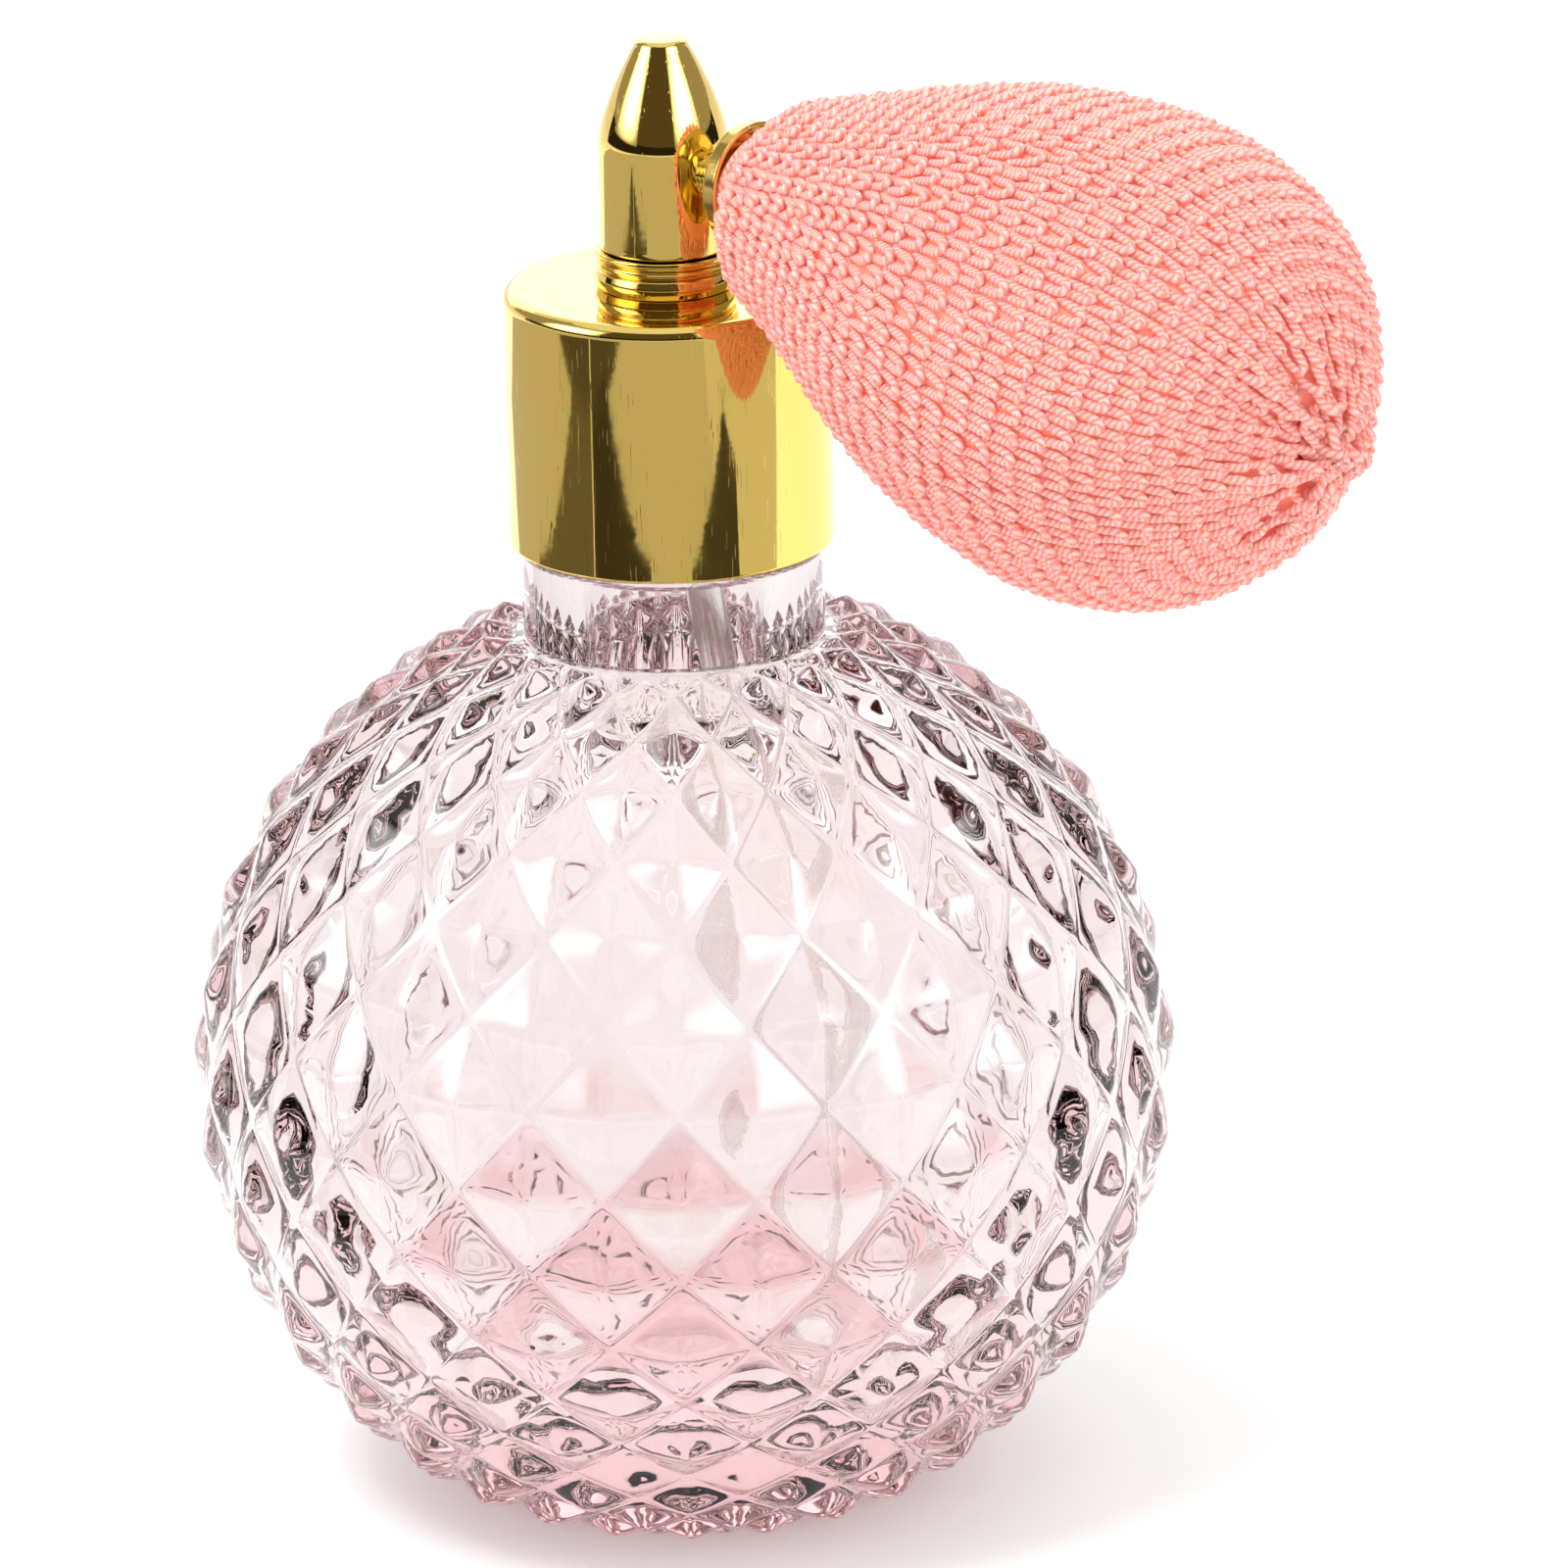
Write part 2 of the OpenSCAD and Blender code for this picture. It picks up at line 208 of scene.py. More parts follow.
# %% [markdown]
# ## Finishes
# The glass is soda-lime with a trace of pink, pressed in a mould and fire-polished, so it is smooth and rings
# every edge with light. The gold is a thin bright plating over brass and aluminium, with hairline scratches.
# The yarn is a shiny twisted acrylic, and the bulb is moulded latex with a satin skin.

# %% Materials
# The pink is in the glass itself, so it is an absorption: light that has crossed 15 mm is barely pink, and light
# that has bounced about in the thick base is rose. Pressed glass also keeps a slight waviness, about 4 mm long.
glass, t, b = new_material(
    "soda_lime_glass", Base_Color=colour("#FFFCFC"), Roughness=0.0, IOR=1.51, Transmission_Weight=1.0
)
stain = node(t, "ShaderNodeVolumeAbsorption", None, Color=(0.92, 0.0, 0.03, 1.0), Density=5.0)
t.links.new(stain.outputs[0], t.nodes["Material Output"].inputs["Volume"])
where = node(t, "ShaderNodeTexCoord").outputs["Object"]
height = node(t, "ShaderNodeSeparateXYZ", None, Vector=where).outputs[2]
# The glass is thickest in the base, so its own colour is deepest over the lowest 17 mm.
thick = node(t, "ShaderNodeMapRange", None, Value=height, From_Min=0.002, From_Max=0.017)
rose = ramp(t, thick.outputs[0], [(0.0, "#F3C6CC"), (0.5, "#FBE3E5"), (1.0, "#FFFDFD")])
t.links.new(rose, b.inputs["Base Color"])
wavy = node(t, "ShaderNodeTexNoise", None, Vector=where, Scale=170.0, Detail=1.0)
# The neck is turned true, so the waves die away between 66 and 72 mm up.
calm = node(t, "ShaderNodeMapRange", None, Value=height, From_Min=0.066, From_Max=0.072, To_Min=1.0, To_Max=0.12)
wave = node(t, "ShaderNodeMath", {"operation": "MULTIPLY"}, _0=wavy.outputs[0], _1=calm.outputs[0])
bump = node(t, "ShaderNodeBump", None, Height=wave.outputs[0], Strength=0.3, Distance=0.0006)
t.links.new(bump.outputs[0], b.inputs["Normal"])


def plated(name, hex_code, rough, scratch):
    """Bright plating: a metal colour, a gloss that varies over 4 mm, and sparse scratches 0.1 mm by 3 mm.
    A scratch is where a stretched noise passes 0.73: its height is -1.2, added to that of the cloudy noise."""
    m, t, b = new_material(name, Base_Color=colour(hex_code), Metallic=1.0, Roughness=rough)
    where = node(t, "ShaderNodeTexCoord").outputs["Object"]
    cloud = node(t, "ShaderNodeTexNoise", None, Vector=where, Scale=260.0, Detail=3.0)
    gloss = node(
        t, "ShaderNodeMapRange", None, Value=cloud.outputs[0],
        From_Min=0.35, From_Max=0.7, To_Min=rough * 0.7, To_Max=rough * 1.8,
    )
    t.links.new(gloss.outputs[0], b.inputs["Roughness"])
    stretch = node(
        t, "ShaderNodeMapping", None, Vector=where, Scale=(7.0, 7.0, 0.35), Rotation=(0.7, 0.4, 0.2)
    )
    hair = node(t, "ShaderNodeTexNoise", None, Vector=stretch.outputs[0], Scale=900.0, Detail=0.0)
    line = node(
        t, "ShaderNodeMapRange", None, Value=hair.outputs[0], From_Min=0.73, From_Max=0.8, To_Min=0.0, To_Max=1.0
    )
    fine = node(t, "ShaderNodeMath", {"operation": "MULTIPLY"}, _0=line.outputs[0], _1=-1.2)
    height = node(t, "ShaderNodeMath", {"operation": "ADD"}, _0=fine.outputs[0], _1=cloud.outputs[0])
    bump = node(t, "ShaderNodeBump", None, Height=height.outputs[0], Strength=scratch, Distance=0.00005)
    t.links.new(bump.outputs[0], b.inputs["Normal"])
    return m


gold = plated("gold_plating", "#EBCB70", 0.035, 0.12)
dull_gold = plated("worn_gold_plating", "#D2B468", 0.16, 0.3)
brass = plated("turned_brass", "#C9A85E", 0.22, 0.3)
steel = plated("polished_steel", "#C9CCD0", 0.08, 0.1)

# Latex: dipped, so it is smooth and satin. It also glows faintly in its own colour with no lamp behind it: a painted
# glow that brightens the bulb and lifts its shaded gaps, standing for light that wanders inside it and bounces round
# the white studio.
latex, t, b = new_material(
    "peach_latex", Base_Color=colour("#FFA48E"), Roughness=0.42,
    Emission_Color=colour("#FF8468"), Emission_Strength=0.14,
)
where = node(t, "ShaderNodeTexCoord").outputs["Object"]
mottle = node(t, "ShaderNodeTexNoise", None, Vector=where, Scale=180.0, Detail=2.0)
t.links.new(ramp(t, mottle.outputs[0], [(0.3, "#F79A84"), (0.7, "#FFAE98")]), b.inputs["Base Color"])
skin = node(t, "ShaderNodeBump", None, Height=mottle.outputs[0], Strength=0.2, Distance=0.0001)
t.links.new(skin.outputs[0], b.inputs["Normal"])

# The yarn: two plies twisted together once in 1.1 mm. The piece's map gives the distance along the yarn in
# millimetres and the share of the way round it, so the ply lines are bands of distance plus share. Real fibres
# are 0.02 mm thick, which is too fine to show, so each ply is drawn with seven of them.
TWIST, PLIES, FIBRES = 1.1, 2, 14
yarn, t, b = new_material(
    "twisted_acrylic_yarn", Base_Color=colour("#F6ABA2"), Roughness=0.32,
    Sheen_Weight=0.3, Sheen_Roughness=0.4, Sheen_Tint=colour("#FFE8E2"),
    # Painted glow: the yarn glows faintly in its own colour with no lamp behind it, which brightens the cover and lifts
    # the shade between its loops.
    Emission_Color=colour("#FF8E7C"), Emission_Strength=0.13,
)
uv = node(t, "ShaderNodeUVMap", {"uv_map": "along"})
part = node(t, "ShaderNodeSeparateXYZ", None, Vector=uv.outputs[0])
turns = node(t, "ShaderNodeMath", {"operation": "MULTIPLY"}, _0=part.outputs[0], _1=1 / TWIST)
twist = node(t, "ShaderNodeMath", {"operation": "ADD"}, _0=turns.outputs[0], _1=part.outputs[1])
ply = node(t, "ShaderNodeMath", {"operation": "MULTIPLY"}, _0=twist.outputs[0], _1=PLIES * 2 * math.pi)
wave = node(t, "ShaderNodeMath", {"operation": "COSINE"}, _0=ply.outputs[0])
fibre = node(t, "ShaderNodeMath", {"operation": "MULTIPLY"}, _0=twist.outputs[0], _1=FIBRES * 2 * math.pi)
strands = node(t, "ShaderNodeMath", {"operation": "COSINE"}, _0=fibre.outputs[0])
mixed = node(t, "ShaderNodeMath", {"operation": "MULTIPLY_ADD"}, _0=strands.outputs[0], _1=0.14, _2=wave.outputs[0])
bump = node(t, "ShaderNodeBump", None, Height=mixed.outputs[0], Strength=0.7, Distance=0.00014)
t.links.new(bump.outputs[0], b.inputs["Normal"])
# Painted shade and highlight: the colour follows the ply wave, dark pink in the grooves between the plies, where shade
# falls, and pale pink on their crests, where the light catches them.
shade = node(
    t, "ShaderNodeMapRange", None, Value=wave.outputs[0], From_Min=-1.0, From_Max=0.6, To_Min=0.0, To_Max=1.0
)
ply_shade_and_highlight = ramp(t, shade.outputs[0], [(0.0, "#F3897C"), (0.6, "#F8A89D"), (1.0, "#FFC2B9")])
t.links.new(ply_shade_and_highlight, b.inputs["Base Color"])


def moulded(name, hex_code, rough, **more):
    """Moulded plastic: an even colour with the faint grain of the mould, 0.1 mm across."""
    m, t, b = new_material(name, Base_Color=colour(hex_code), Roughness=rough, **more)
    where = node(t, "ShaderNodeTexCoord").outputs["Object"]
    grain = node(t, "ShaderNodeTexNoise", None, Vector=where, Scale=9000.0, Detail=2.0)
    bump = node(t, "ShaderNodeBump", None, Height=grain.outputs[0], Strength=0.15, Distance=0.00004)
    t.links.new(bump.outputs[0], b.inputs["Normal"])
    return m


polypropylene = moulded("natural_polypropylene", "#F3EEE6", 0.42)
silicone = moulded("silicone_seal", "#EAE4DA", 0.5)
coral_plastic = moulded("coral_polypropylene", "#EE8276", 0.45)
tube_plastic = moulded("polyethylene_tube", "#FFFDFB", 0.1, Transmission_Weight=0.93, IOR=1.5)

# %% [markdown]
# ## The cut glass ball
# The real bottle is pressed in a mould, and grooves run round it on two families of diagonals. They could be cut
# out of a sphere with booleans, which leaves long thin faces. Here the cut surface is worked out instead. On a
# map whose u counts columns and whose v counts rows, the grooves are the lines where u - v/2 or u + v/2 is a
# whole number, and a four-sided point rises between them. Each diamond gets a grid of its own whose sides lie
# along the grooves, so no face crosses a groove and every edge of the cut stays crisp.

# %% Ball
COLUMNS, ROW_LO, ROW_HI, TURN = 20, -5, 13, 7.0
TIP_R, DEPTH, BALL_Z = 40.0, 1.4, 35.0


def row_latitude(v):
    """Latitude of row v in degrees: a straight line below row 0, a cubic up to row 12, and a short last row."""
    climb = -40.6 + 6.14 * v + 0.66 * v**2 - 0.0354 * v**3
    return np.where(v < 0, -40.6 + 6.4 * v, np.where(v > 12, 66.95 + 3.9 * (v - 12), climb))


def diamond_height(p, q):
    """Height of a diamond, 0 at its grooves and 1 at its tip, where p and q run 0 to 1 between the two grooves
    of each family: twice the distance to the nearest groove, with the groove, the ridges and the tip rounded."""
    x, y = 1 - np.abs(2 * p - 1), 1 - np.abs(2 * q - 1)
    m = 0.5 * (x + y - np.sqrt((x - y) ** 2 + 0.02)) + 0.0707
    m = m + 0.14 * np.sin(np.pi * m) * m
    return np.clip((np.sqrt(m**2 + 0.03) - 0.1732) / 0.91, 0, 1.0)


def ball_point(u, v, height):
    """A point on the ball at column u and row v, height mm above the grooves."""
    a = np.radians(TURN + u * 360 / COLUMNS)
    lat = np.radians(row_latitude(v))
    r = TIP_R - DEPTH + height
    r = r - height * 0.45 * np.clip((-56 - np.degrees(lat)) / 8, 0, 1)
    z = BALL_Z + r * np.sin(lat)
    z = 0.5 * (z + np.sqrt(z**2 + 0.09))  # the foot is ground flat: what would be below it is pressed up to it
    return np.stack([r * np.cos(lat) * np.cos(a), r * np.cos(lat) * np.sin(a), z], -1)


CELLS = 12
share = np.linspace(0, 1, CELLS + 1)
share = share - 0.05 * np.sin(4 * np.pi * share)  # closer together at the grooves and at the ridges


def diamond_rows(rows, half=0):
    """Diamonds of the given rows, each a grid of CELLS by CELLS quads in p and q, with u = middle + (p + q - 1) / 2
    and v = row + q - p. half = 1 keeps the part above the row's middle line, -1 the part below it, and the cells
    on that line are cut to triangles."""
    p, q = np.meshgrid(share, share, indexing="ij")
    i, k = np.meshgrid(np.array(rows), np.arange(COLUMNS), indexing="ij")
    middle = k + 0.5 + np.where(i % 2 == 0, 0.0, 0.5)
    u = middle[..., None, None] + (p + q - 1) / 2
    v = i[..., None, None] + (q - p)
    fade = np.clip(np.minimum(v - ROW_LO, ROW_HI - v) / 0.45, 0, 1)  # the outermost rows end in smooth glass
    height = DEPTH * diamond_height(p, q) * fade**2 * (3 - 2 * fade)
    points = ball_point(u, v, height).reshape(-1, 3)
    n = CELLS + 1
    a, b = np.meshgrid(np.arange(CELLS), np.arange(CELLS), indexing="ij")
    a, b = a.ravel(), b.ravel()
    cells = np.stack([a * n + b, (a + 1) * n + b, (a + 1) * n + b + 1, a * n + b + 1], -1)
    if half == 1:
        cells[a == b, 1] = cells[a == b, 0]
        cells = cells[b >= a]
    if half == -1:
        cells[a == b, 3] = cells[a == b, 0]
        cells = cells[a >= b]
    start = np.arange(i.size)[:, None, None] * n * n
    return points, (cells[None] + start).reshape(-1, 4)


def run(corners, radii):
    """An open outline whose inner corners are rounded."""
    return fillet(corners, [0, *radii, 0], 6)


def ring(v):
    """Radius and height of the groove line at row v, where the smooth glass takes over."""
    lat = math.radians(float(row_latitude(np.array(float(v)))))
    r, z = (TIP_R - DEPTH) * math.cos(lat), BALL_Z + (TIP_R - DEPTH) * math.sin(lat)
    return r, 0.5 * (z + math.sqrt(z * z + 0.09))


def smooth_glass(outline):
    """Turns an open outline, with its sides at the same angles as the ends of the diamond grids."""
    u = (np.arange(COLUMNS)[:, None] + share[None, :-1]).ravel()[:, None]
    a = np.radians(TURN + u * 360 / COLUMNS)
    r, z = outline[None, :, 0], outline[None, :, 1]
    points = np.stack([r * np.cos(a), r * np.sin(a), z + 0 * a], -1).reshape(-1, 3)
    return points, grid_faces(len(u), len(outline), True, False)


foot = np.array([ring(ROW_LO), (7.0, 0.03), (3.0, 0.03), (0, 0.03)])
turn_in = np.radians(np.linspace(74, -74, 46))
bowl = np.stack([31 * np.cos(turn_in), 35.5 + 31 * np.sin(turn_in)], -1)
throat = run(
    [ring(ROW_HI), (11.95, 71.4), (12.1, 71.9), (12.1, 78.9), (9.0, 79.0),
     (9.0, 93.0), (7.2, 93.0), (7.2, 69.4), tuple(bowl[0])],
    [0.3, 0.2, 0.5, 0.3, 0.5, 0.4, 1.5],
)
inside = np.concatenate([throat, bowl[1:], [[6.5, 5.55], [3, 5.5], [0, 5.5]]])
parts = [
    diamond_rows(range(ROW_LO + 1, ROW_HI)), diamond_rows([ROW_LO], 1), diamond_rows([ROW_HI], -1),
    smooth_glass(foot[::-1]), smooth_glass(inside),
]
shift = np.cumsum([0] + [len(q[0]) for q in parts[:-1]])
quads = np.concatenate([q[1] + k for q, k in zip(parts, shift)])
points, tris = weld(np.concatenate([q[0] for q in parts]), quads, 1e-3)


def same_way(tris):
    """Every edge of a closed surface is walked once each way. Counts the edges for which that fails."""
    e = np.concatenate([tris[:, [0, 1]], tris[:, [1, 2]], tris[:, [2, 0]]])
    key = e[:, 0].astype(np.int64) * (tris.max() + 1) + e[:, 1]
    back = e[:, 1].astype(np.int64) * (tris.max() + 1) + e[:, 0]
    return int((~np.isin(key, back)).sum())


print("edges without a partner:", same_way(tris))
piece("cut_glass_bottle", "bottle", "bottle", (points, outward(points, tris)), glass, None)

# %% [markdown]
# ## Gold closure, post and head
# The real ones are turned or drawn on a lathe and then plated. A cylinder with a Bevel modifier would do for the
# collar, but not for the rings and the bullet, so each is an outline carried round the axis. Polished metal shows
# its edges only as thin lines of light, so each corner gets a small real radius, with one more ring of points
# just outside it, which keeps the reflections in the flat faces flat.

# %% Collar, post and head
collar = fillet(
    [(12.5, 79.25), (13.1, 79.25), (13.1, 100.3), (3.6, 100.3), (3.6, 99.4), (12.45, 99.4)],
    [0.1, 0.35, 1.0, 0.15, 0.1, 0.3], 6,
)
piece("gold_collar", "closure", "collar_sleeve", lathe(collar, 256), gold)

post = fillet(
    [(1.52, 90.2), (3.5, 90.2), (3.5, 100.32), (5.45, 100.32), (5.75, 101.1), (5.5, 101.85), (5.15, 101.95),
     (5.15, 102.12), (5.55, 102.2), (5.55, 102.62), (5.2, 102.72), (5.2, 102.86), (5.72, 102.95), (5.66, 103.4),
     (2.95, 103.5), (2.95, 106.0), (1.52, 106.0)],
    [0.1, 0.2, 0.1, 0.15, 0.8, 0.25, 0.05, 0.05, 0.18, 0.18, 0.05, 0.05, 0.2, 0.15, 0.1, 0.1, 0.1], 6,
)
piece("ringed_post", "spray_head", "post_base", lathe(post, 192), gold)

# The bullet narrows from 5.25 mm by 3.1 times the power 1.45 of the share of its 8 mm nose, and has a round tip.
t = np.linspace(0, 1, 24)[:, None]
nose = np.concatenate([5.25 - 3.1 * t**1.45, 112.0 + 8.0 * t], 1)
turn_in = np.radians(np.linspace(15, 90, 8))
tip = np.stack([1.55 + 0.6 * np.cos(turn_in), 119.9 + 0.6 * np.sin(turn_in)], -1)
shank = [(2.97, 103.52), (5.1, 103.52), (5.18, 103.54), (5.24, 103.6), (5.25, 103.7), (5.25, 104.2), (5.25, 111.4)]
bullet = np.concatenate([shank, nose, tip, [(0.8, 120.5), (0, 120.5), (0, 112.9), (2.97, 112.9)]])
piece("bullet_head", "spray_head", "head", lathe(bullet, 192), gold, 50)

# %% [markdown]
# ## Air stem and cup
# The stem is a short tube with a real helical thread between the head and the cup. A Screw modifier could wind
# one, but a radius that depends on height and angle gives a closed thread in one grid. The cup is a dished ring
# whose rim is folded over the bulb's neck. Both lie along +X, so a turned shape is laid over onto that axis.

# %% Stem and cup
STEM_Z = 110.2


def along_stem(points):
    """Lays a shape drawn along +Z onto +X at the stem's height: (x, y, z) goes to (z, y, STEM_Z - x)."""
    return np.stack([points[:, 2], points[:, 1], STEM_Z - points[:, 0]], -1)


def threaded_rod(z0, z1, r, bore, depth, pitch, around=40, a_ring=10):
    """A tube whose outside is r + depth * wave, where the wave is a rounded V of height against turn plus angle."""
    z = np.linspace(z0, z1, int((z1 - z0) / pitch * a_ring) + 1)[None, :]
    a = np.linspace(0, 2 * np.pi, around, endpoint=False)[:, None]
    phase = (z / pitch - a / (2 * np.pi)) % 1
    wave = np.clip(1.25 - np.abs(2 * phase - 1) * 1.5, 0, 1)
    ends = np.clip(np.minimum(z - z0, z1 - z) / 0.25, 0, 1)
    rad = r + depth * wave * ends
    outer = np.stack([rad * np.cos(a), rad * np.sin(a), z + 0 * a], -1)
    lip0 = np.stack([bore * np.cos(a), bore * np.sin(a), z0 + 0 * a], -1)
    lip1 = np.stack([bore * np.cos(a), bore * np.sin(a), z1 + 0 * a], -1)
    grid = np.concatenate([lip0, outer, lip1], 1)
    points, tris = weld(grid.reshape(-1, 3), grid_faces(around, grid.shape[1], True, True))
    return points, outward(points, tris)


rod = threaded_rod(3.0, 12.4, 1.52, 1.0, 0.24, 0.42, 48, 10)
laid = along_stem(rod[0])
piece("threaded_air_stem", "spray_head", "air_stem", (laid, outward(laid, rod[1])), gold, 60)

cup = fillet(
    [(1.8, 7.7), (2.2, 7.7), (2.5, 7.95), (4.2, 8.45), (5.0, 8.95), (5.12, 10.15), (4.75, 10.3), (4.7, 9.5),
     (4.1, 9.15), (2.9, 9.1), (2.9, 15.2), (3.15, 15.5), (2.9, 16.2), (2.5, 16.2), (2.5, 12.5), (1.8, 12.5)],
    [0.05, 0.15, 0.3, 0.8, 0.35, 0.12, 0.12, 0.3, 0.3, 0.2, 0.1, 0.1, 0.1, 0.05, 0.05, 0.05], 6,
)
shape = lathe(cup, 160)
laid = along_stem(shape[0])
piece("dished_cup", "spray_head", "cup_flange", (laid, outward(laid, shape[1])), dull_gold, 50)

# %% [markdown]
# ## Rubber bulb
# A hollow pear of smooth latex, as it comes off the dipping former. Its outline is the knit's outline less the
# knit's thickness, so the two always fit, and a curve through a few knots keeps the pear free of flats.

# %% Bulb
DROOP, BULB_X, BULB_LEN = math.radians(10.5), 9.5, 60.2
AXIS = np.array([math.cos(DROOP), 0, -math.sin(DROOP)])
UP = np.array([math.sin(DROOP), 0, math.cos(DROOP)])
CUP = np.array([BULB_X, 0, STEM_Z])
OUTLINE = np.array([
    [0.9, 5.4], [2.2, 7.2], [5, 8.8], [9, 10.4], [13, 12.1], [19, 14.8], [26, 17.4],
    [33, 18.9], [39, 19.5], [45, 18.8], [51, 16.4], [55.5, 12.3], [58.2, 8], [59.8, 4.2],
])  # mm along the bulb's axis from the cup, and radius there
SKIN_IN, WALL = 0.85, 1.8


def smooth_curve(knots, n):
    """A curve through the knots: in each span, the Hermite cubic whose slopes join the neighbours of its ends."""
    slope = np.gradient(knots, axis=0)
    t = np.linspace(0, 1, n, endpoint=False)[None, :, None]
    a, b, u, v = knots[:-1, None], knots[1:, None], slope[:-1, None], slope[1:, None]
    c = a * (2 * t**3 - 3 * t**2 + 1) + u * (t**3 - 2 * t**2 + t) + b * (3 * t**2 - 2 * t**3) + v * (t**3 - t**2)
    return np.concatenate([c.reshape(-1, 2), knots[-1:]])


def inset(curve, d):
    """Moves an outline [along, radius] by d towards the axis, square to itself."""
    g = np.gradient(curve, axis=0)
    g = g / np.linalg.norm(g, axis=1, keepdims=True)
    return curve + d * np.stack([g[:, 1], -g[:, 0]], -1)


def along_bulb(points):
    """Lays a shape drawn along +Z onto the bulb's axis, with its +X side upwards."""
    lift = 0.45 * np.clip(points[:, 2:3] / 12, 0, 1)  # the full end rides a little high
    return CUP + points[:, 2:3] * AXIS + (points[:, 0:1] + lift) * UP + points[:, 1:2] * np.array([0.0, 1.0, 0.0])


pear = smooth_curve(OUTLINE, 6)
skin = inset(pear, SKIN_IN)
skin = skin[skin[:, 1] > 3.2]
body = np.concatenate([[(0.95, 3.1)], skin, [(58.7, 3.1), (58.7, 2.65), (57.0, 2.65)]])
inner = inset(pear, SKIN_IN + WALL)
inner = inner[(inner[:, 0] > 7.5) & (inner[:, 1] > 2.9) & (inner[:, 0] < 56.6)][::-1]
body = np.concatenate([body, inner, [(7.0, 3.25)]])
shape = lathe(body[:, ::-1], 128)
laid = along_bulb(shape[0])
rubber = piece("latex_bulb", "spray_head", "rubber_bulb", (laid, outward(laid, shape[1])), latex, 60)

# %% [markdown]
# ## Knitted cover
# The cover is plain knitting seen from its back. A bump pattern would look flat at the outline, where the loops
# stand proud, so the yarn itself is modelled. One course is a wave of yarn that runs round the bulb: at each
# stitch it swings forwards and back along the bulb, and it stands proud at the turns of the swing and dips in
# between, where it passes under its neighbours. The heads of one course reach past the feet of the next. The
# courses get more stitches as the bulb gets wider, and fold in on themselves where a drawn yarn closes the tail.

# %% Cover
COURSE, WALE, YARN_R = 2.5, 1.95, 0.42
arc = np.concatenate([[0], np.cumsum(np.linalg.norm(np.diff(pear, axis=0), axis=1))])
print("meridian length", round(float(arc[-1]), 1))


def on_pear(far, angle, proud):
    """A point on the cover: far mm along the meridian, at an angle round the axis, proud mm outside the outline.
    Past the outline's last point the meridian runs on, straight to the axis, into the gathers at the tail."""
    s = np.interp(far, arc, pear[:, 0])
    r = np.interp(far, arc, pear[:, 1])
    g = np.gradient(pear, axis=0)
    g = g / np.linalg.norm(g, axis=1, keepdims=True)
    ts, tr = np.interp(far, arc, g[:, 0]), np.interp(far, arc, g[:, 1])
    over = np.maximum(far - arc[-1], 0)
    r = np.maximum(r - over * 0.9, 0.3)
    s = s + over * 0.35
    # The gathers: near the tail the knit rises and falls round the axis, and the middle is drawn in.
    near = np.clip((14 - r) / 9, 0, 1) * (s > 40)
    fold = 0.6 * np.cos(7 * angle + 1.5 * np.sin(2 * angle + 0.6)) + 0.4 * np.cos(12 * angle + 2.0) + 0.55
    proud = proud + fold * near
    radius = r + proud * ts
    along = s - proud * tr
    local = np.stack([radius * np.cos(angle), radius * np.sin(angle), along], -1)
    return along_bulb(local.reshape(-1, 3)).reshape(local.shape)


def knit_course(far, stitches, phase, seg, sides, swing, rng):
    """One course as a closed tube. At turn t of a stitch the yarn is at (t + a sin 2t) round the bulb, swing cos t
    along it and a little over cos t outside the middle surface, so that heads show and feet hide."""
    n = stitches * seg
    t = np.arange(n) * 2 * np.pi / seg
    wob = rng.normal(0, 1, (3, stitches)).repeat(seg, 1)
    kernel = np.hanning(seg + 2)[1:-1]
    kernel = kernel / kernel.sum()
    wob = np.stack([np.convolve(np.concatenate([w[-seg:], w, w[:seg]]), kernel, "same")[seg:-seg] for w in wob])
    around = (t + 0.50 * np.sin(2 * t)) / stitches + phase + 0.10 * wob[0] * 2 * np.pi / stitches
    along = far + swing * np.cos(t) + 0.10 * wob[1]
    proud = -0.58 + 0.28 * np.cos(t) + 0.08 * np.cos(2 * t) + 0.05 * wob[2]
    path = on_pear(along, around, proud)
    out = on_pear(along, around, proud + 0.5) - path
    tangent = np.roll(path, -1, 0) - np.roll(path, 1, 0)
    length = np.concatenate([[0], np.cumsum(np.linalg.norm(np.diff(path, axis=0, append=path[:1]), axis=1))])
    tangent /= np.linalg.norm(tangent, axis=1, keepdims=True)
    out -= (out * tangent).sum(1, keepdims=True) * tangent
    out /= np.linalg.norm(out, axis=1, keepdims=True)
    side = np.cross(tangent, out)
    w = np.arange(sides) * 2 * np.pi / sides
    tube = path[:, None] + YARN_R * (np.cos(w)[None, :, None] * out[:, None] + np.sin(w)[None, :, None] * side[:, None])
    quads = grid_faces(n, sides, True, True)
    # The map runs on past the join in both directions, so the ply lines don't jump there.
    a, b = np.divmod(np.arange(n * sides), sides)
    corner = np.array([[0, 0], [1, 0], [1, 1], [0, 1]])
    uv = np.stack([length[a[:, None] + corner[None, :, 0]], (b[:, None] + corner[None, :, 1]) / sides], -1)
    return tube.reshape(-1, 3), quads[:, ::-1], uv[:, ::-1]


rng = np.random.default_rng(7)
GRADES = np.array([6, 9, 14, 22, 30, 36, 42, 48, 54, 60, 66, 72])  # stitches in a course
FIRST, PAST_TAIL = 4.0, 4.2
courses, far, turn = [], FIRST, 0.0
while far < arc[-1] + PAST_TAIL:
    radius = max(float(np.interp(far, arc, pear[:, 1])) - max(far - arc[-1], 0), 1.2)
    loose = math.exp(-(((far - 34) / 17) ** 2))  # 1 in the belly, where the cover is stretched, and 0 at both ends
    wale = WALE - 0.25 * (1 - loose)
    stitches = int(GRADES[np.argmin(np.abs(GRADES - 2 * math.pi * radius / wale))])
    spacing = COURSE * (0.76 + 0.24 * loose)
    courses.append(knit_course(far, stitches, turn, 11, 5, spacing * (0.70 - 0.12 * loose), rng))
    turn += 0.012
    far += spacing

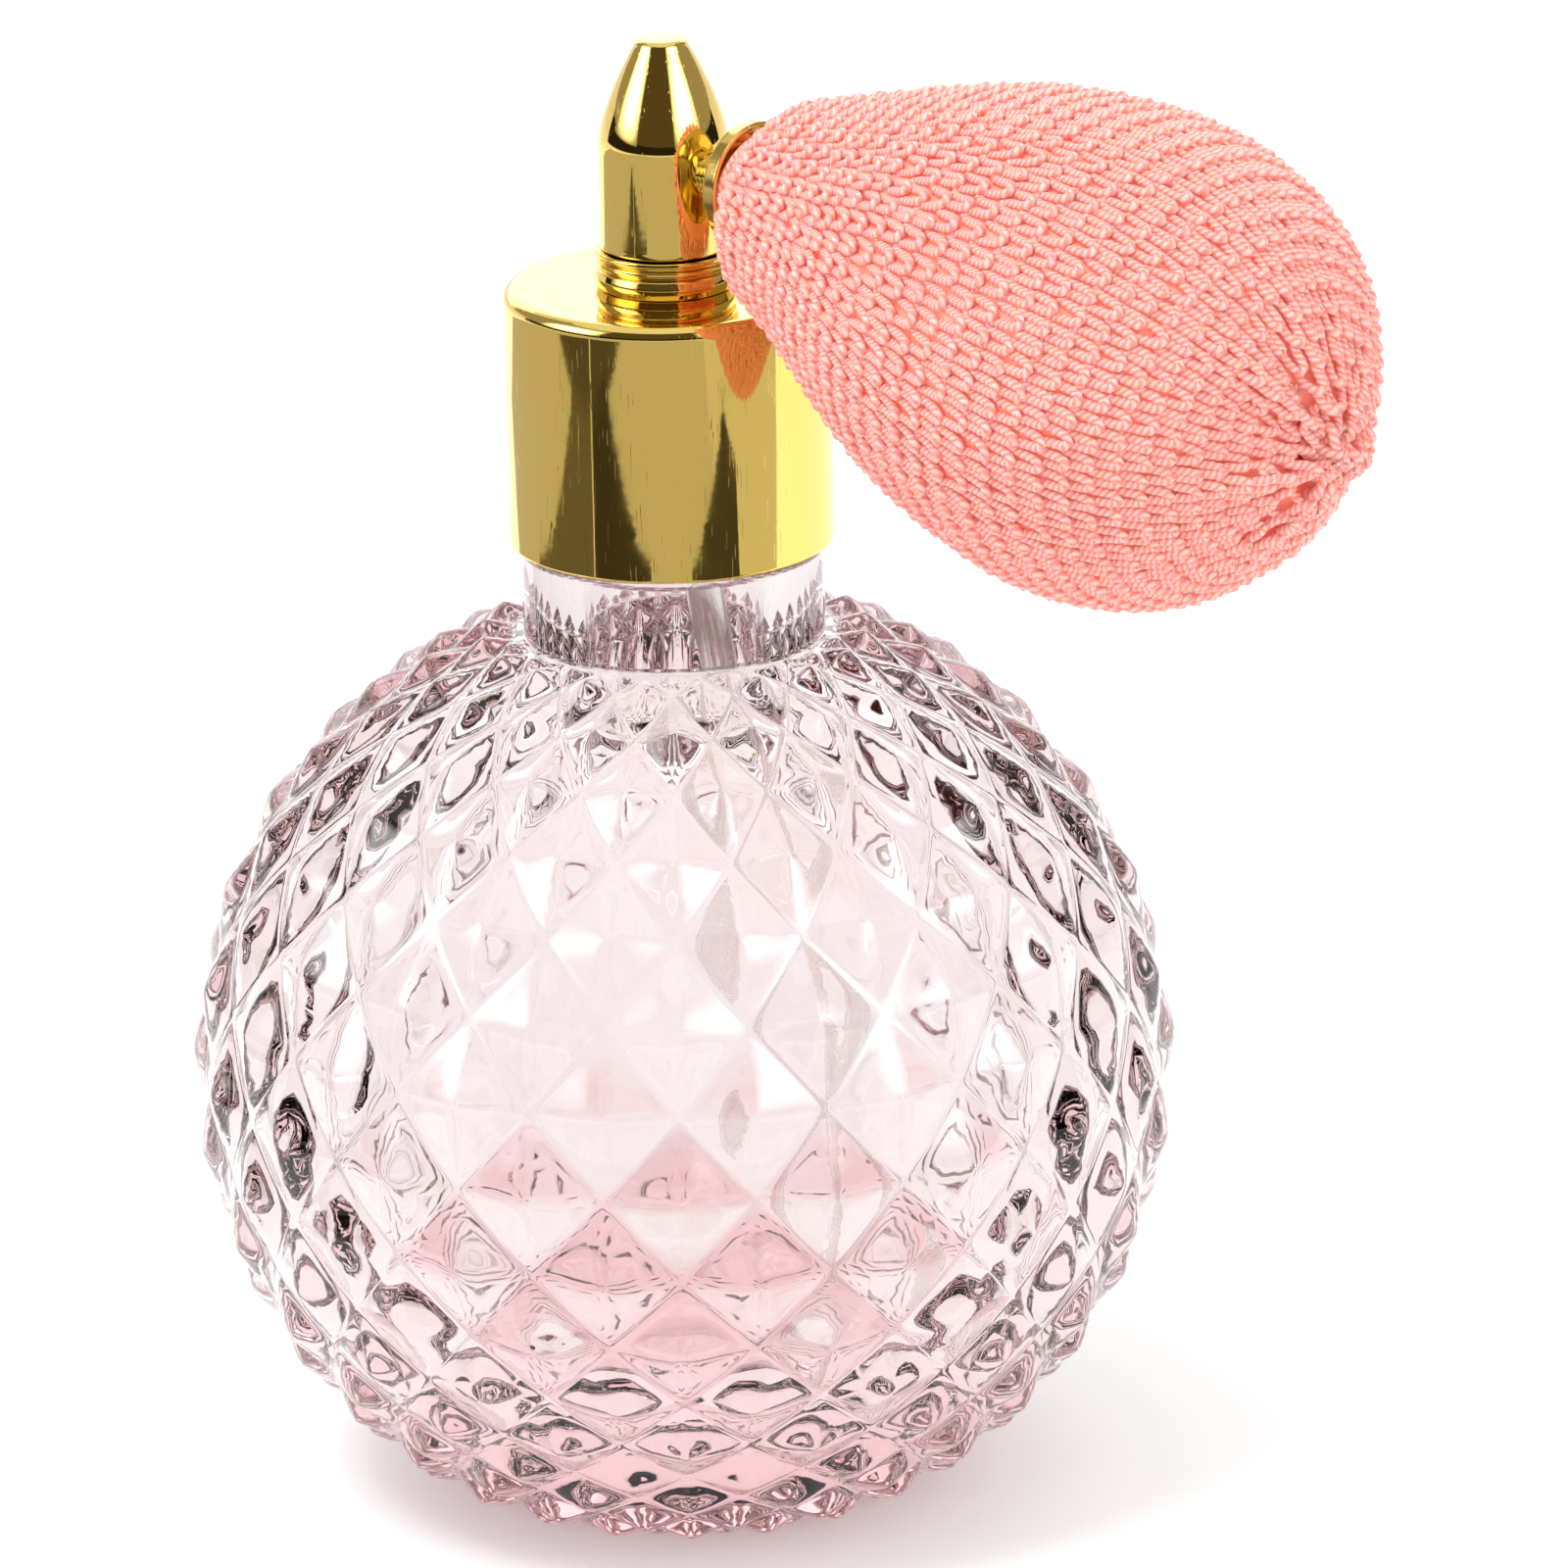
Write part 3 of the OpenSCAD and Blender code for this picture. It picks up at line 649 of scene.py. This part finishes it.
total = sum(len(c[0]) for c in courses)
print("courses", len(courses), "points", total)
start = np.cumsum([0] + [len(c[0]) for c in courses[:-1]])
points = np.concatenate([c[0] for c in courses])
faces = np.concatenate([c[1] + k for c, k in zip(courses, start)])
uv = np.concatenate([c[2] for c in courses]).reshape(-1, 2)
cover = add_mesh("knitted_cover", points, faces, None, uv)
cover.data.materials.append(yarn)
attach(cover, "spray_head")
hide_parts("knit_cover")

# %% [markdown]
# ## Drawn yarns
# One turn of the same yarn binds the cover to the bulb's neck, and another draws it shut at the tail. Each is a
# ring of yarn square to the bulb's axis, and its map runs along it in millimetres, as the cover's does.

# %% Drawn yarns
def yarn_ring(name, node_name, along, radius, thick, around=72, sides=10):
    """A ring of yarn: at angle a round the axis its middle is radius out, and the yarn swells and thins a little."""
    a = np.arange(around) * 2 * np.pi / around
    w = np.arange(sides) * 2 * np.pi / sides
    r = (thick * (1 + 0.04 * np.cos(5 * a)))[:, None]
    out = radius + r * np.cos(w)
    local = np.stack([out * np.cos(a)[:, None], out * np.sin(a)[:, None], along + r * np.sin(w)], -1)
    corner = np.array([[0, 0], [1, 0], [1, 1], [0, 1]])
    i, k = np.divmod(np.arange(around * sides), sides)
    step = TWIST * round(2 * math.pi * radius / TWIST) / around  # a whole number of twists, so the ring closes
    uv = np.stack([(i[:, None] + corner[:, 0]) * step, (k[:, None] + corner[:, 1]) / sides], -1)
    quads = grid_faces(around, sides, True, True)
    points = along_bulb(local.reshape(-1, 3))
    if (outward(points, quads[:, :3]) != quads[:, :3]).any():
        quads, uv = quads[:, ::-1], uv[:, ::-1]
    ring_piece = add_mesh(name, points, quads, None, uv.reshape(-1, 2))
    ring_piece.data.materials.append(yarn)
    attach(ring_piece, "spray_head")
    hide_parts(node_name)
    return ring_piece


binding = yarn_ring("binding_yarn", "neck_binding", 0.45, 4.1, 0.35)
gather = yarn_ring("gathering_yarn", "gather_cord", BULB_LEN + 0.32, 1.05, 0.32)

# %% [markdown]
# ## Own meshes
# The bulb, the cover and the two drawn yarns each get a mesh of their own, shared with nothing else.

# %% Own meshes
for soft in (rubber, cover, binding, gather):
    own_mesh(soft)

# %% [markdown]
# ## Finishes of the CAD nodes
# The hidden parts keep their CAD meshes, because their shape is right and hardly anything of them is seen. Each
# gets the material of the real part in place of its plain colour.

# %% CAD finishes
FINISH = {
    "threaded_cap": polypropylene, "neck_gasket": silicone, "post_nut": brass, "mixing_core": polypropylene,
    "nozzle_insert": brass, "dip_tube": tube_plastic, "outlet_valve_seat": polypropylene, "outlet_valve_ball": steel,
    "inlet_valve_body": coral_plastic, "inlet_valve_ball": steel,
    "inlet_valve_cap": coral_plastic,
}
for name, material in FINISH.items():
    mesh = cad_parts[name].data
    mesh.materials.clear()
    mesh.materials.append(material)

# %% [markdown]
# ## Studio
# The floor is a pale sheet, lit a little from below as a light table is, under an even white sky. Two broad
# lamps give the knit its soft shading, and stay out of reflections, which get cards of their own.

# %% Floor, sky and lamps
square = np.array([[-1, -1, 0], [1, -1, 0], [1, 1, 0], [-1, 1, 0.0]])
floor = add_mesh("floor", square * 4000, np.array([[0, 1, 2, 3]]))
paper, t, b = new_material(
    "lit_white_sheet", Base_Color=colour("#FFFFFF"), Roughness=0.7, Specular_IOR_Level=0.1,
    Emission_Color=colour("#FFFFFF"), Emission_Strength=0.12,
)
floor.data.materials.append(paper)

world = bpy.data.worlds.new("white_studio")
world.use_nodes = True
world.node_tree.nodes["Background"].inputs[0].default_value = (1, 1, 1, 1)
world.node_tree.nodes["Background"].inputs[1].default_value = 1.0
bpy.context.scene.world = world

AZ = math.radians(44)
BACK = np.array([math.sin(AZ), -math.cos(AZ), 0])  # level, from the object towards the camera
RIGHT = np.array([math.cos(AZ), math.sin(AZ), 0])
UPRIGHT = np.array([0, 0, 1.0])
HEART = np.array([0, 0, 100.0])


def aimed(place, look, roll=0.0):
    """The matrix of a lamp or camera at a place that looks along a direction, turned by roll about it."""
    look = look / np.linalg.norm(look)
    side = np.cross(look, UPRIGHT)
    side /= np.linalg.norm(side)
    up = np.cross(side, look)
    side, up = math.cos(roll) * side + math.sin(roll) * up, math.cos(roll) * up - math.sin(roll) * side
    m = np.eye(4)
    m[:3, 0], m[:3, 1], m[:3, 2], m[:3, 3] = side, up, -look, place * MM
    return Matrix([list(r) for r in m])


LAMPS = (("key_lamp", (-260, 200, 800), 420, 5.2), ("fill_lamp", (520, 300, 260), 420, 0.3))
for name, place, size, power in LAMPS:
    light = bpy.data.lights.new(name, "AREA")
    light.shape, light.size, light.energy = "SQUARE", size * MM, power
    lamp = bpy.data.objects.new(name, light)
    bpy.context.scene.collection.objects.link(lamp)
    spot = RIGHT * place[0] + BACK * place[1] + UPRIGHT * place[2]
    lamp.matrix_world = aimed(spot, HEART - spot)
    lamp.visible_glossy = False
    lamp.visible_transmission = False

# %% [markdown]
# ## What the metal sees
# Polished metal has hardly any look of its own: its bright and dark shapes are pictures of the room. The room
# here is a set of cards that only reflections and refractions see. Upright ones are patches of a big sphere, in
# degrees round from the camera's side and degrees above the floor, and the flat ones lie on the floor.

# %% Cards
def card(name, points, faces, hex_code, glow, sees=("gloss", "glass"), fade=None):
    """A glowing card of one colour that only gloss or the glass sees. fade is its brightness at each point."""
    obj = add_mesh(name, points, faces)
    m, t, b = new_material(
        name + "_tone", Base_Color=(0, 0, 0, 1), Specular_IOR_Level=0.0,
        Emission_Color=colour(hex_code), Emission_Strength=glow,
    )
    if fade is not None:
        obj.data.attributes.new("fade", "FLOAT", "POINT").data.foreach_set("value", fade.astype(np.float32))
        level = node(t, "ShaderNodeAttribute", {"attribute_name": "fade"})
        t.links.new(level.outputs["Fac"], b.inputs["Emission Strength"])
    obj.data.materials.append(m)
    obj.visible_camera = obj.visible_shadow = obj.visible_diffuse = False
    obj.visible_glossy, obj.visible_transmission = "gloss" in sees, "glass" in sees


def upright(name, round_by, height, hex_code, glow, sees=("gloss", "glass"), far=1300, soft=False, rim=0.0):
    """A patch of a sphere far mm from the heart, as a grid of 24 by 12. A soft one's brightness goes from rim at
    its edges to glow in its middle as sin(x) * sin(y) to the power 1.2, with x and y from 0 to pi across it."""
    u, v = np.meshgrid(np.linspace(0, 1, 25), np.linspace(0, 1, 13), indexing="ij")
    a = np.radians(round_by[0] + u * (round_by[1] - round_by[0]))
    e = np.radians(height[0] + v * (height[1] - height[0]))
    level = np.sin(a)[..., None] * RIGHT + np.cos(a)[..., None] * BACK
    points = HEART + far * (np.cos(e)[..., None] * level + np.sin(e)[..., None] * UPRIGHT)
    hump = np.maximum(np.sin(np.pi * u) * np.sin(np.pi * v), 0) ** 1.2
    fade = (rim + (glow - rim) * hump).ravel() if soft else None
    card(name, points.reshape(-1, 3), grid_faces(25, 13), hex_code, glow, sees, fade)


def flat(name, corners, hex_code, lift, sees=("gloss",)):
    """A card on the floor, its corners given as mm to the right and mm towards the camera."""
    points = np.array([RIGHT * x + BACK * y + UPRIGHT * lift for x, y in corners])
    card(name, points, np.arange(len(corners))[None, :], hex_code, 1.0, sees)


GLOSS, GLASS = ("gloss",), ("glass",)
upright("dark_horizon", (-115, 115), (-3, 8), "#2E2820", 1.0, GLOSS)
upright("dark_room", (-50, 25), (8, 55), "#5C5240", 1.0, GLOSS)
upright("grey_left", (-135, -50), (8, 55), "#AAA69C", 1.0, GLOSS, 1290)
upright("grey_right", (25, 135), (8, 55), "#AAA69C", 1.0, GLOSS, 1290)
upright("window_left", (-100, -48), (6, 48), "#FFFFFF", 9.0, GLOSS, 1200, True, 0.35)
upright("window_right", (20, 76), (6, 48), "#FFFFFF", 9.0, GLOSS, 1200, True, 0.35)
upright("window_back", (140, 220), (8, 36), "#FFFFFF", 2.4, GLOSS, 1200)
upright("bright_back", (150, 210), (4, 40), "#FFFFFF", 1.9, GLASS, 1200, True, 1.0)
upright("grey_glass_left", (-70, -30), (-2, 40), "#D2CCCE", 1.0, GLASS, 1250)
upright("grey_glass_right", (22, 62), (-2, 46), "#B2ACB0", 1.0, GLASS, 1250)
flat("grey_floor", [(-900, 60), (150, 60), (120, 1000), (-900, 1000)], "#CFCDC8", 0.4)
flat("pale_floor", [(150, 60), (900, 60), (900, 1000), (120, 1000)], "#E2E0DA", 0.4)
flat("side_floor", [(-900, -250), (-180, -250), (-180, 60), (-900, 60)], "#CFCDC8", 0.4)
flat("dark_left", [(-250, -72), (-306, 112), (-262, 185), (-150, 100), (-150, -72)], "#6E695E", 0.8)
flat("dark_front", [(-262, 185), (-235, 235), (-68, 256), (-50, 110), (-150, 100)], "#423E36", 0.8)
flat("dark_right", [(58, 258), (190, 255), (214, 212), (190, 181), (130, 90), (50, 110)], "#4A463E", 0.8)
flat("dark_far", [(-350, 38), (-352, 60), (-336, 214), (-199, 308), (-186, 292)], "#5A554A", 0.8)
flat("pale_slit", [(-130, 88), (-334, 224), (-331, 229), (-128, 91)], "#E2E0DA", 1.2)
flat("seen_through", [(-700, -1400), (700, -1400), (500, 95), (-500, 95)], "#FFFDFD", 0.01, GLASS)
flat("grey_front", [(-160, 110), (-200, 330), (200, 330), (160, 110)], "#B4AEB0", 0.6, GLASS)

# %% [markdown]
# ## Camera
# The camera looks down a little from the front right of the bulb, from a metre away, with a long lens.

# %% Camera
SENSOR, REACH = 36, 8.266875  # a sensor 36 mm wide, and the lens as a multiple of that
camera = bpy.data.cameras.new("camera")
camera.sensor_width = SENSOR
camera.lens = SENSOR * REACH
camera.clip_start, camera.clip_end = 0.05, 50
seer = bpy.data.objects.new("camera", camera)
bpy.context.scene.collection.objects.link(seer)
yaw, pitch = math.radians(0.4926), math.radians(18.528)
look = math.cos(pitch) * (math.sin(yaw) * RIGHT - math.cos(yaw) * BACK) - math.sin(pitch) * UPRIGHT
seer.matrix_world = aimed(BACK * 990.5 + UPRIGHT * 390, look, math.radians(-1.1825))
bpy.context.scene.camera = seer
bpy.context.scene.view_settings.view_transform = "Standard"
